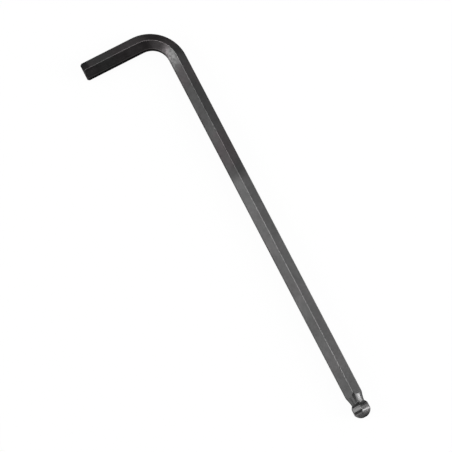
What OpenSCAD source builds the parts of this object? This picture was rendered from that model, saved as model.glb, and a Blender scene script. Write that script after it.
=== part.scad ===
// Long-arm hex key with a ball end: one hexagonal steel bar, bent once into an L.
// It lies flat, as it comes to rest on a table: the bend's plane is level, one pair of the bar's flats faces
// along that plane, and the key rests on its lower edges. The origin is on the table, under the middle of the
// key's box. The short arm points to -X and the long arm to -Y.

/* [Bar] */
// Width of the bar across its flats
across_flats = 8; // [5:0.5:12]
// Radius of the rounding on the bar's six long edges
edge_r = 0.6; // [0.2:0.1:1]

/* [Arms] */
// Long arm, from the outside of the short arm to the tip of the ball
long_arm = 208; // [100:1:300]
// Short arm, from the outside of the long arm to its end face
short_arm = 46.5; // [36:0.5:80]

/* [Bend] */
// Radius of the inside of the bend
bend_inner_r = 9; // [5:0.5:16]
// How much thinner the bar has become at the middle of the bend
bend_thinning = 0.9; // [0:0.1:1.5]

/* [Short end] */
// Length of the ground chamfer, measured along the bar's edges
chamfer_l = 1; // [0.4:0.1:2]
// Slope of the chamfer, measured from the end face
chamfer_slope = 50; // [30:5:65]

/* [Ball end] */
// How much larger the radius of the ball is than half the width of the bar
ball_extra_r = 0.25; // [0.1:0.05:0.6]
// Depth of the small flat left at the tip of the ball
tip_flat = 0.1; // [0.05:0.05:0.4]
// Length of the turned neck, from where the bar's edges end to the ball
neck_l = 5.2; // [3.5:0.1:8]
// Depth of the round neck below the bar's flats, where it meets the ball
neck_depth = 0.85; // [0.5:0.05:1.4]
// Radius of the hollow along the neck
neck_hollow_r = 16; // [10:1:60]

/* [Hidden] */

finish_colour = "#3b3b3d";
sides = 6;
half_flat = across_flats / 2;
// From the bar's axis to the middle of an edge's rounding, and to the edge itself
edge_centre_r = (half_flat - edge_r) / cos(180 / sides);
half_corners = edge_centre_r + edge_r;

// Straight pieces in the rounding of one edge, and in the quarter turn of the bend
edge_steps = 4;
bend_steps = 36;
// How far a cutting tool reaches past what it cuts
overrun = 1;
$fn = 180;

// The axes of the two arms cross at zero. The outer arc of the bend has a larger radius and a middle of its
// own: at the middle of the turn the two arcs lie sqrt(2) - 1 times closer than their radii differ.
bend_outer_r = bend_inner_r + across_flats + bend_thinning / (sqrt(2) - 1);
inner_middle = [-half_flat - bend_inner_r, -half_flat - bend_inner_r];
outer_middle = [half_flat - bend_outer_r, half_flat - bend_outer_r];
// The straight arms start at a whole number, just past both arcs
bend_reach = ceil(max(-outer_middle.x, -inner_middle.x)) + 1;

ball_r = half_flat + ball_extra_r;
ball_y = half_flat - long_arm + ball_r - tip_flat;
neck_r = half_flat - neck_depth;
// Where the neck meets the ball and where it starts, along the arm from the middle of the ball
neck_end = -sqrt(ball_r * ball_r - neck_r * neck_r);
neck_start = neck_end - neck_l;

// The bar's section, a hexagon with round edges: x points out of the bend along its plane, y points up
bar_section = [
  for (edge = [0:sides - 1], step = [0:edge_steps])
    let (edge_angle = (edge + 0.5) * 360 / sides)
    let (angle = edge_angle + (step / edge_steps - 0.5) * 360 / sides)
    edge_centre_r * [cos(edge_angle), sin(edge_angle)] + edge_r * [cos(angle), sin(angle)]
];

// The cuts that the bend is lofted through, each as its inner and its outer point seen from above
bend_cuts = [
  [[-bend_reach, -half_flat], [-bend_reach, half_flat]],
  for (step = [0:bend_steps])
    let (angle = 90 * (1 - step / bend_steps))
    let (ray = [cos(angle), sin(angle)])
    [inner_middle + bend_inner_r * ray, outer_middle + bend_outer_r * ray],
  [[-half_flat, -bend_reach], [half_flat, -bend_reach]]
];

// The section's points in one cut, stretched evenly between its inner and its outer point
function cut_points(cut) = [
  for (p = bar_section)
    let (place = cut[0] + (cut[1] - cut[0]) * (p.x + half_flat) / across_flats)
    [place.x, place.y, p.y]
];

// The bend: the bar's section, lofted round the turn and squeezed a little on the way
module bend() {
  n = len(bar_section);
  last = len(bend_cuts) - 1;
  polyhedron(
    points = [for (cut = bend_cuts) each cut_points(cut)],
    faces = [
      [for (i = [0:n - 1]) i],
      for (k = [0:last - 1], i = [0:n - 1])
        let (next = (i + 1) % n)
        [k * n + i, (k + 1) * n + i, (k + 1) * n + next, k * n + next],
      [for (i = [n - 1:-1:0]) last * n + i]
    ],
    convexity = 4
  );
}

// What the grinding wheel takes off round the short end: a ring with a triangular section, which runs up
// from the end face
module end_chamfer() {
  rise = tan(chamfer_slope);
  outside = half_corners + overrun;
  inside = half_corners - (chamfer_l + overrun) / rise;
  rotate_extrude()
    polygon([[outside, -chamfer_l - overrun * rise], [outside, overrun], [inside, overrun]]);
}

module short_arm_bar() {
  straight = short_arm - half_flat - bend_reach;
  translate([-bend_reach, 0, 0])
    rotate([90, 0, -90])
      difference() {
        linear_extrude(height = straight)
          polygon(bar_section);
        translate([0, 0, straight])
          end_chamfer();
      }
}

// Middle of the arc that hollows the neck, seen from the side: x runs out from the arm's axis, and y along
// the arm from the middle of the ball to its tip
function hollow_middle() =
  let (start = [half_corners, neck_start])
  let (chord = [neck_r, neck_end] - start)
  let (outwards = [chord.y, -chord.x] / norm(chord))
  start + chord / 2 + outwards * sqrt(pow(neck_hollow_r, 2) - pow(norm(chord) / 2, 2));

// What the lathe tool takes off round the neck: it starts at the bar's six edges and leaves the neck round
module neck_turning() {
  rotate_extrude()
    intersection() {
      translate(hollow_middle())
        circle(r = neck_hollow_r);
      translate([0, neck_start - overrun])
        square([half_corners + overrun, overrun - neck_start]);
    }
}

// The long arm runs on inside the ball, to half way between the neck's end and the ball's middle
module long_arm_bar() {
  difference() {
    translate([0, -bend_reach, 0])
      rotate([90, 0, 0])
        linear_extrude(height = -bend_reach - ball_y + neck_end / 2)
          polygon(bar_section);
    translate([0, ball_y, 0])
      rotate([90, 0, 0])
        neck_turning();
  }
}

// What milling leaves of one pair of the ball's flats: a round about the ball's middle
module milled_round(pair) {
  rotate([0, pair * 360 / sides, 0])
    cylinder(r = ball_r, h = 2 * across_flats, center = true);
}

// The ball: the bar with each pair of its flats milled round, so that it keeps six sides
module ball() {
  translate([0, ball_y, 0])
    intersection() {
      rotate([90, 0, 0])
        linear_extrude(height = 2 * (ball_r - tip_flat), center = true)
          polygon(bar_section);
      milled_round(0);
      milled_round(1);
      milled_round(2);
    }
}

module hex_key() {
  color(finish_colour)
    translate([short_arm / 2 - half_flat, long_arm / 2 - half_flat, half_corners]) {
      short_arm_bar();
      bend();
      long_arm_bar();
      ball();
    }
}

hex_key();
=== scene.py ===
import math

import bpy
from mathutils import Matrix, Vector


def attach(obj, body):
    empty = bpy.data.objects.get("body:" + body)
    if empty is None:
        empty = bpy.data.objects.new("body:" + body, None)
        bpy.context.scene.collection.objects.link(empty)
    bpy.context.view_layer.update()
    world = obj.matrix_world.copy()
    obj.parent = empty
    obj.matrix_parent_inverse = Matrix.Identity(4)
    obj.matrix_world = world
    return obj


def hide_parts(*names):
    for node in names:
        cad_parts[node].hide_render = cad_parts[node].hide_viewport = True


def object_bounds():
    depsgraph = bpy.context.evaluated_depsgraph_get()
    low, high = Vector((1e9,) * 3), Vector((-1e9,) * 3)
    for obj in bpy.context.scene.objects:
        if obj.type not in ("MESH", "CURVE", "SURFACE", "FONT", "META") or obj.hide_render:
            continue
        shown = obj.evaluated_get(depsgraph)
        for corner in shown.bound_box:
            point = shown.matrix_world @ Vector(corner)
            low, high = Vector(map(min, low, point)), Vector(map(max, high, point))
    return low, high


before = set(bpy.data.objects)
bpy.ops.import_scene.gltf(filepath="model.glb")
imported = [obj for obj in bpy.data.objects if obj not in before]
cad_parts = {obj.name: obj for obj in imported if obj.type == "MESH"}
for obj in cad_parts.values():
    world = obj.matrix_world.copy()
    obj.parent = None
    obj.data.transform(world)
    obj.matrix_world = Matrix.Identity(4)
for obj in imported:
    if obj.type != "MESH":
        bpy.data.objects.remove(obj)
cad_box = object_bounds()
scene = bpy.context.scene


# The camera
# A long lens nearly a metre above the table, a little to the side of the short arm and past the long one.
# It is turned about its line of sight, so that the long arm runs down to the right across the picture.
camera = bpy.data.objects.new("camera", bpy.data.cameras.new("camera"))
scene.collection.objects.link(camera)
camera.location = (-0.02944, -0.12974, 0.85868)
camera.rotation_mode = "ZYX"
camera.rotation_euler = (math.radians(8.89), math.radians(-2.15), math.radians(-27.11))
camera.data.sensor_width = 36
camera.data.lens = 148.16
camera.data.clip_start = 0.01
scene.camera = camera


# The hex key
# One hexagonal bar of hardened chrome-vanadium steel: drawn, cut off, heated and bent into an L, then
# blackened in an oxide bath. The neck is turned and the ball milled on the same bar, and nothing is fitted
# to it.
half_flat = 0.004
bend_inner_radius = 0.009
bend_thinning = 0.0009
bend_axis_radius = bend_inner_radius + half_flat
low_corner, high_corner = (Vector(corner) for corner in cad_box)
axis_height = (low_corner.z + high_corner.z) / 2
bend_middle = high_corner.xy - Vector((1, 1)) * (half_flat + bend_axis_radius)


def unbent(place):
    """Where a point of the key lay on the straight bar: across, up, and along from the bend to the ball."""
    from_middle = place.xy - bend_middle
    up = place.z - axis_height
    if from_middle.y < 0:
        return Vector((from_middle.x - bend_axis_radius, up, -from_middle.y))
    if from_middle.x < 0:
        return Vector((from_middle.y - bend_axis_radius, up, from_middle.x - bend_axis_radius * math.pi / 2))
    angle = math.atan2(from_middle.y, from_middle.x)
    thickness = 2 * half_flat - bend_thinning * math.sin(2 * angle)
    across = (from_middle.length - bend_inner_radius) / thickness * 2 * half_flat - half_flat
    return Vector((across, up, -bend_axis_radius * angle))


# The copy's loose triangles are joined. The bar's round edges turn 15 degrees from face to face, so they are
# shaded smooth up to a little more, and the flats stay flat.
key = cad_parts["hex_key"].copy()
key.data = key.data.copy()
key.name = "black_hex_key"
scene.collection.objects.link(key)
bpy.ops.object.select_all(action="DESELECT")
key.select_set(True)
bpy.context.view_layer.objects.active = key
bpy.ops.mesh.customdata_custom_splitnormals_clear()
bpy.ops.object.mode_set(mode="EDIT")
bpy.ops.mesh.select_all(action="SELECT")
bpy.ops.mesh.remove_doubles(threshold=0.000002)
bpy.ops.object.mode_set(mode="OBJECT")
bpy.ops.object.shade_smooth_by_angle(angle=math.radians(17))
even_flats = key.modifiers.new("even flats", "WEIGHTED_NORMAL")
even_flats.keep_sharp = True
bpy.ops.object.modifier_apply(modifier=even_flats.name)

# The finish follows the bar round its bend, so each point keeps its place on the straight bar
bar_places = key.data.attributes.new("bar place", "FLOAT_VECTOR", "POINT")
for vertex, bar_place in zip(key.data.vertices, bar_places.data):
    bar_place.vector = unbent(vertex.co)

# Faces that were ground, turned or milled are marked by their place along the bar. The ground and turned ones
# also lean along it, which the drawn flats don't.
ground_start = -0.0488
ball_middle = 0.18685
neck_start = ball_middle - 0.0083
neck_end = ball_middle - 0.00285
least_lean = 0.04
cut_finishes = ("ground", "turned", "milled")
for name in cut_finishes:
    key.data.attributes.new(name, "FLOAT", "FACE")
marks = key.data.attributes
for face in key.data.polygons:
    along = unbent(face.center).z
    leans = abs(face.normal.x if along < 0 else face.normal.y) > least_lean
    marks["ground"].data[face.index].value = float(along < ground_start and leans)
    marks["turned"].data[face.index].value = float(neck_start < along < neck_end and leans)
    marks["milled"].data[face.index].value = float(along > neck_end)


def linear(hex_colour):
    """The linear RGBA colour of an sRGB hex value."""
    parts = [int(hex_colour[i:i + 2], 16) / 255 for i in (1, 3, 5)]
    return [c / 12.92 if c <= 0.04045 else ((c + 0.055) / 1.055) ** 2.4 for c in parts] + [1]


def add(material, kind, settings=None, inputs=None):
    """Adds a node with its settings. An input gets a value, or a link from a socket or another node."""
    node = material.node_tree.nodes.new(kind)
    for name, value in (settings or {}).items():
        setattr(node, name, value)
    for name, value in (inputs or {}).items():
        if isinstance(value, bpy.types.Node):
            value = value.outputs[0]
        if isinstance(value, bpy.types.NodeSocket):
            material.node_tree.links.new(value, node.inputs[name])
        else:
            node.inputs[name].default_value = value
    return node


# Black oxide on drawn steel: a thin satin crust that leaves the metal its broad, soft reflections, but dark
# ones. It is uneven in tone, worn to a lighter grey on the edges, and has a highlight painted inside the
# bend.
oxide = bpy.data.materials.new("satin black oxide on drawn steel")
oxide.use_nodes = True
shader = oxide.node_tree.nodes["Principled BSDF"]
shader.inputs["Metallic"].default_value = 1
# The crust takes away most of the glare that bare metal has at a flat angle
shader.inputs["Specular Tint"].default_value = linear("#808080")
MATH, VECTOR_MATH = "ShaderNodeMath", "ShaderNodeVectorMath"
MAP_RANGE, NOISE = "ShaderNodeMapRange", "ShaderNodeTexNoise"
TIMES, PLUS, MINUS = {"operation": "MULTIPLY"}, {"operation": "ADD"}, {"operation": "SUBTRACT"}
SMOOTH = {"interpolation_type": "SMOOTHSTEP"}
bar_place = add(oxide, "ShaderNodeAttribute", {"attribute_name": "bar place"}).outputs["Vector"]
bar_parts = add(oxide, "ShaderNodeSeparateXYZ", inputs={0: bar_place}).outputs
ground, turned, milled = (
    add(oxide, "ShaderNodeAttribute", {"attribute_name": name}).outputs["Fac"] for name in cut_finishes
)
# What makes the crust uneven, and the mottle in the painted bend highlight, each with the real size of one
# spot in millimetres. The specks and that mottle are drawn coarser than the real ones, which are too fine to
# show.
spots = {
    name: add(oxide, NOISE, inputs={"Vector": bar_place, "Scale": 1000 / size_mm, "Detail": detail})
    for name, size_mm, detail in (
        ("stains", 12, 3), ("specks", 1.6, 2), ("stretch border", 6, 3),
        ("brown", 15, 2), ("highlight mottle", 1.5, 3), ("sheen", 3, 2),
    )
}

# The bar is darker and a little browner from the short end to a third of the long arm. The border is soft
# and wanders 5 mm either way.
darker_up_to, lighter_from = 0.0625, 0.0710
border_wander = 0.005
wander = add(oxide, MAP_RANGE,
             inputs={"Value": spots["stretch border"], "To Min": -border_wander, "To Max": border_wander})
stretch_place = add(oxide, MATH, PLUS, {0: bar_parts["Z"], 1: wander})
dark_stretch = add(oxide, MAP_RANGE, SMOOTH,
             {"Value": stretch_place, "From Min": lighter_from, "From Max": darker_up_to})

# A highlight is painted on the inside of the bend, on the side of the long arm, and the gloss there is a
# little smoother
highlight_middle = (0.0170, 0.0881, 0)
highlight_core, highlight_reach = 0.0010, 0.0105
inner_from, outer_from = -0.0002, 0.0006
object_place = add(oxide, "ShaderNodeTexCoord").outputs["Object"]
level_place = add(oxide, VECTOR_MATH, TIMES, {0: object_place, 1: (1, 1, 0)})
highlight_distance = add(oxide, VECTOR_MATH, {"operation": "DISTANCE"},
                   {0: level_place, 1: highlight_middle}).outputs["Value"]
highlight_near = add(oxide, MAP_RANGE, SMOOTH, {"Value": highlight_distance, "From Min": highlight_reach, "From Max": highlight_core})
highlight_inside = add(oxide, MAP_RANGE, SMOOTH,
                 {"Value": bar_parts["X"], "From Min": outer_from, "From Max": inner_from})
highlight_mottle = add(oxide, MAP_RANGE, SMOOTH,
                 {"Value": spots["highlight mottle"], "From Min": 0.35, "From Max": 0.65, "To Min": 0.6, "To Max": 1.2})
# The painted highlight: strongest near its middle, on the inner side of the bar, and mottled
bend_highlight = add(oxide, MATH, TIMES, {0: add(oxide, MATH, TIMES, {0: highlight_near, 1: highlight_inside}), 1: highlight_mottle})

# The oxide is blacker on the outer side of the short arm's last three millimetres
tip_from, tip_full = -0.0458, -0.0472
half_side_border = 0.0004
tip_reach = add(oxide, MAP_RANGE, SMOOTH,
                {"Value": bar_parts["Z"], "From Min": tip_from, "From Max": tip_full})
tip_outside = add(oxide, MAP_RANGE, SMOOTH,
                  {"Value": bar_parts["X"], "From Min": -half_side_border, "From Max": half_side_border})
black_tip = add(oxide, MATH, TIMES, {0: tip_reach, 1: tip_outside})

# The bar's six edges are worn where they stand furthest from its axis, here more and there less, in patches
# 4 mm wide and 12.5 mm long, and little on the short arm
worn_from, worn_full = 0.00447, 0.00452
little_worn_to, much_worn_from = -0.022, 0.002
from_axis = add(oxide, VECTOR_MATH, TIMES, {0: bar_place, 1: (1, 1, 0)})
from_axis = add(oxide, VECTOR_MATH, {"operation": "LENGTH"}, {0: from_axis}).outputs["Value"]
on_edge = add(oxide, MAP_RANGE, SMOOTH, {"Value": from_axis, "From Min": worn_from, "From Max": worn_full})
wear_place = add(oxide, VECTOR_MATH, TIMES, {0: bar_place, 1: (1000 / 4, 1000 / 4, 1000 / 12.5)})
wear_noise = add(oxide, NOISE, inputs={"Vector": wear_place, "Scale": 1, "Detail": 3})
wear = add(oxide, MAP_RANGE, SMOOTH,
           {"Value": wear_noise, "From Min": 0.35, "From Max": 0.65, "To Min": 0.8, "To Max": 1.2})
arm_wear = add(oxide, MAP_RANGE, SMOOTH,
               {"Value": bar_parts["Z"], "From Min": little_worn_to, "From Max": much_worn_from,
                "To Min": 0.35, "To Max": 1})
worn = add(oxide, MATH, TIMES, {0: add(oxide, MATH, TIMES, {0: on_edge, 1: wear}), 1: arm_wear})

# Tone: stains and specks, darker from the short end to a third of the long arm and at the tip, lighter where
# worn, ground, turned or milled, and lighter still where the bend's highlight is painted
stains = add(oxide, MAP_RANGE, SMOOTH,
             {"Value": spots["stains"], "From Min": 0.3, "From Max": 0.7, "To Min": 0.9, "To Max": 1.1})
specks = add(oxide, MAP_RANGE, SMOOTH,
             {"Value": spots["specks"], "From Min": 0.3, "From Max": 0.7, "To Min": 0.95, "To Max": 1.05})
tone = add(oxide, MATH, TIMES, {0: stains, 1: specks})
for place, factor in (
    (dark_stretch, 0.65), (black_tip, 0.5), (bend_highlight, 2.4), (worn, 2.35),
    (ground, 1.2), (turned, 2.2), (milled, 1.25),
):
    change = add(oxide, MATH, {"operation": "MULTIPLY_ADD"}, {0: place, 1: factor - 1, 2: 1})
    tone = add(oxide, MATH, TIMES, {0: tone, 1: change})
brown_patch = add(oxide, MAP_RANGE, SMOOTH, {"Value": spots["brown"], "From Min": 0.4, "From Max": 0.6})
stretch_brown = add(oxide, MAP_RANGE, inputs={"Value": dark_stretch, "To Min": 0.25, "To Max": 1})
browned = add(oxide, MATH, TIMES, {0: brown_patch, 1: stretch_brown})
colour = add(oxide, "ShaderNodeMix", {"data_type": "RGBA"},
             {0: browned, 6: linear("#484848"), 7: linear("#4a4748")}).outputs[2]
colour = add(oxide, VECTOR_MATH, {"operation": "SCALE"}, {0: colour, "Scale": tone})
oxide.node_tree.links.new(colour.outputs[0], shader.inputs["Base Color"])

# Gloss: satin with a slight mottle, and smoother where milled or turned, and where the bend's highlight is
# painted
rough = add(oxide, MAP_RANGE, inputs={"Value": spots["sheen"], "To Min": 0.32, "To Max": 0.44})
for place, change in ((bend_highlight, -0.06), (milled, -0.16), (turned, -0.04)):
    rough = add(oxide, MATH, {"operation": "MULTIPLY_ADD"}, {0: place, 1: change, 2: rough})
oxide.node_tree.links.new(rough.outputs[0], shader.inputs["Roughness"])

# Relief: drawing lines along the bar, turning lines round the neck, fine milling lines and coarse chatter
# across the ball, and grinding lines on the end. Each has its lines per millimetre across, up and along the
# bar, and its depth in millimetres. The real fine lines, some 20 to a millimetre, don't show, so these are
# coarser.
height = None
for place, lines_per_mm, depth_mm in (
    (None, (4.5, 4.5, 0.075), 0.008),
    (turned, (0.13, 0.13, 4), 0.030),
    (milled, (0.13, 0.13, 4), 0.020),
    (milled, (0.02, 0.02, 1.7), 0.12),
    (ground, (4.5, 0.12, 4.5), 0.012),
):
    lines = add(oxide, VECTOR_MATH, TIMES, {0: bar_place, 1: [1000 * count for count in lines_per_mm]})
    lines = add(oxide, NOISE, inputs={"Vector": lines, "Scale": 1, "Detail": 2})
    lines = add(oxide, MATH, TIMES, {0: lines, 1: depth_mm / 1000})
    if place:
        lines = add(oxide, MATH, TIMES, {0: lines, 1: place})
    height = add(oxide, MATH, PLUS, {0: height, 1: lines}) if height else lines
# The cutter has left the ball's flats a little round, as far as half a flat's length from the ball's middle
round_radius = 0.00425
half_round = 0.001436
from_ball = add(oxide, MATH, MINUS, {0: bar_parts["Z"], 1: ball_middle})
from_ball = add(oxide, MATH, {"operation": "ABSOLUTE"}, {0: from_ball})
from_ball = add(oxide, MATH, {"operation": "MINIMUM"}, {0: from_ball, 1: half_round})
sag = add(oxide, MATH, TIMES, {0: from_ball, 1: from_ball})
sag = add(oxide, MATH, TIMES, {0: sag, 1: add(oxide, MATH, TIMES, {0: milled, 1: -0.5 / round_radius})})
height = add(oxide, MATH, PLUS, {0: height, 1: sag})
relief = add(oxide, "ShaderNodeBump", inputs={"Height": height, "Distance": 1})
oxide.node_tree.links.new(relief.outputs[0], shader.inputs["Normal"])

key.data.materials.clear()
key.data.materials.append(oxide)
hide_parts("hex_key")
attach(key, "root")


# The floor
# A sheet of matt coated paper, laid flat under the key and large enough to fill the picture from every side.
# It spreads the light evenly, and is exposed to white, with a faint shadow left.
exposed_white = 0.95
bpy.ops.mesh.primitive_plane_add(size=6, location=(0, 0, 0))
floor = bpy.context.object
floor.name = "floor"
paper = bpy.data.materials.new("matt white paper")
paper.use_nodes = True
paper_shader = paper.node_tree.nodes["Principled BSDF"]
paper_shader.inputs["Base Color"].default_value = linear("#f4f4f4")
paper_shader.inputs["Roughness"].default_value = 1
ray = add(paper, "ShaderNodeLightPath").outputs
seen = add(paper, MATH, {"operation": "MAXIMUM"}, {0: ray["Is Camera Ray"], 1: ray["Is Glossy Ray"]})
seen = add(paper, MATH, {"operation": "MAXIMUM"}, {0: seen, 1: ray["Is Transmission Ray"]})
white_share = add(paper, MATH, TIMES, {0: seen, 1: exposed_white})
white = add(paper, "ShaderNodeEmission", inputs={"Color": (1, 1, 1, 1), "Strength": 1})
mixed = add(paper, "ShaderNodeMixShader", inputs={0: white_share, 1: paper_shader, 2: white})
paper.node_tree.links.new(mixed.outputs[0], paper.node_tree.nodes["Material Output"].inputs["Surface"])
floor.data.materials.append(paper)


# The studio light
# Soft boxes all round and overhead in a dim room, and small ones low down at both near sides. Each has its
# place, the length of its side and its radiance, and is turned to the key. The camera's side is left dark.
for name, place, side, radiance in (
    ("left box", (-1.05, 0.1, 0.68), 0.6, 3.4),
    ("far left box", (-0.9, 0.6, 0.6), 0.6, 2.9),
    ("right box", (1.1, 0.12, 0.55), 0.6, 2.15),
    ("far right box", (0.8, 0.8, 0.6), 0.5, 1.8),
    ("near right box", (1.0, -0.57, 0.42), 0.45, 9),
    ("high right box", (0.6, -0.55, 0.75), 0.5, 4),
    ("top box", (0, 0.15, 1.5), 0.7, 6.1),
    ("far box", (0, 1.15, 0.42), 0.6, 1.3),
    ("low right box", (1.2, -0.15, 0.17), 0.3, 4),
    ("low near left box", (-0.85, -0.88, 0.25), 0.5, 1.8),
    ("high near left box", (-0.72, -0.64, 0.84), 0.35, 2.2),
    ("low near right box", (0.8, -1.0, 0.12), 0.36, 2),
):
    box = bpy.data.objects.new(name, bpy.data.lights.new(name, "AREA"))
    scene.collection.objects.link(box)
    box.location = place
    box.rotation_euler = (-Vector(place)).to_track_quat("-Z", "Y").to_euler()
    box.data.shape = "SQUARE"
    box.data.size = side
    box.data.energy = radiance * math.pi * side * side
    box.visible_camera = False
scene.world = bpy.data.worlds.new("dim room")
scene.world.use_nodes = True
room = scene.world.node_tree.nodes["Background"]
room.inputs["Color"].default_value = linear("#ffffff")
room.inputs["Strength"].default_value = 0.07
scene.view_settings.view_transform = "Standard"
